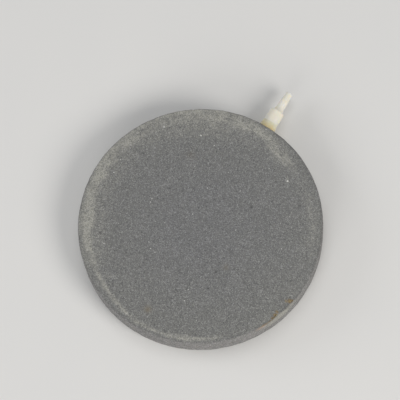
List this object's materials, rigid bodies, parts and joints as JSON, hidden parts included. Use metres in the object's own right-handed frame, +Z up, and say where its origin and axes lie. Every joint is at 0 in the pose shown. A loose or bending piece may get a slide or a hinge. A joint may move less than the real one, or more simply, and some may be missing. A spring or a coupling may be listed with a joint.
{
  "type": "air stone",
  "caption": "Round flat air stone of bonded mineral grain, with a plastic hose nozzle glued into its rim; blows fine bubbles in a pond or a large aquarium.",
  "frame": {"origin": "centre of the disc's bottom face, which it lies on", "axes": "+Z up through the disc's thickness, +X along the hose nozzle away from the disc, +Y completes a right-handed frame"},
  "size_m": [0.1783, 0.15, 0.018],
  "materials": {
    "bonded_grain": "matte, fine open-pored bonded mineral grain",
    "seam_resin": "cured amber resin, mixed with grain",
    "nozzle_plastic": "satin, slightly translucent ivory plastic",
    "nozzle_epoxy": "glossy yellowish cured epoxy"
  },
  "bodies": {
    "root": {"upper_disc": "bonded_grain", "lower_disc": "bonded_grain", "rim_adhesive": "seam_resin", "post_adhesive_0": "seam_resin", "post_adhesive_1": "seam_resin", "post_adhesive_2": "seam_resin", "post_adhesive_3": "seam_resin", "post_adhesive_4": "seam_resin", "post_adhesive_5": "seam_resin", "post_adhesive_6": "seam_resin", "hose_nozzle": "nozzle_plastic", "nozzle_adhesive": "nozzle_epoxy"}
  },
  "joints": []
}
